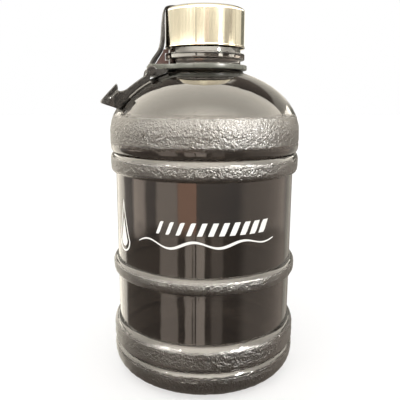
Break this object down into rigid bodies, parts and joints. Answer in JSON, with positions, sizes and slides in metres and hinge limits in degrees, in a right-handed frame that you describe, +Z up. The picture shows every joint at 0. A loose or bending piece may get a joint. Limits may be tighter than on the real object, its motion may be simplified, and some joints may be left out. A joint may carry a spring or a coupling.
{
  "type": "large water jug",
  "caption": "Large ribbed smoke-grey sports water jug with a steel-clad screw cap, a cap tether strap and a hinged carry handle on a neck collar.",
  "frame": {"origin": "centre of the flat underside, on the bottle's axis", "axes": "+Z up along the bottle's axis towards the cap, the carry handle points along -X, and the printed front faces about -Y"},
  "size_m": [0.1349, 0.1298, 0.2516],
  "materials": {
    "smoke_bottle": "clear smoke-grey blow-moulded copolyester, glossy, with hammered bands",
    "smoke_collar": "smoke-grey moulded plastic, satin edges",
    "smoke_handle": "dark smoke moulded plastic, glossy",
    "strap_black": "flexible moulded elastomer, satin",
    "steel_stud": "satin domed head",
    "steel_cap": "fine vertical brush, polished rolled edge",
    "black_insert": "moulded polypropylene",
    "silicone_seal": "translucent white silicone"
  },
  "bodies": {
    "jug": {"jug_body": "smoke_bottle"},
    "collar": {"neck_collar": "smoke_collar"},
    "handle": {"carry_handle": "smoke_handle"},
    "strap_end": {"tether_strap": "strap_black", "tether_eye": "strap_black"},
    "cap": {"cap_stud": "steel_stud", "cap_shell": "steel_cap", "cap_core": "black_insert", "cap_gasket": "silicone_seal"}
  },
  "joints": [
    {"name": "collar_turn", "type": "hinge", "parent": "jug", "child": "collar", "pos_m": [0, 0, 0.21], "axis": [0, 0, 1], "continuous": true},
    {"name": "handle_swing", "type": "hinge", "parent": "collar", "child": "handle", "pos_m": [-0.0371, 0, 0.2072], "axis": [0, 1, 0], "range_deg": [0, 100]},
    {"name": "cap_lift", "type": "slide", "parent": "collar", "child": "strap_end", "axis": [0, 0, 1], "range_m": [0, 0.022], "deforming": ["tether_strap"]},
    {"name": "cap_turn", "type": "hinge", "parent": "strap_end", "child": "cap", "pos_m": [0, 0, 0.235], "axis": [0, 0, 1], "range_deg": [0, 450]}
  ]
}
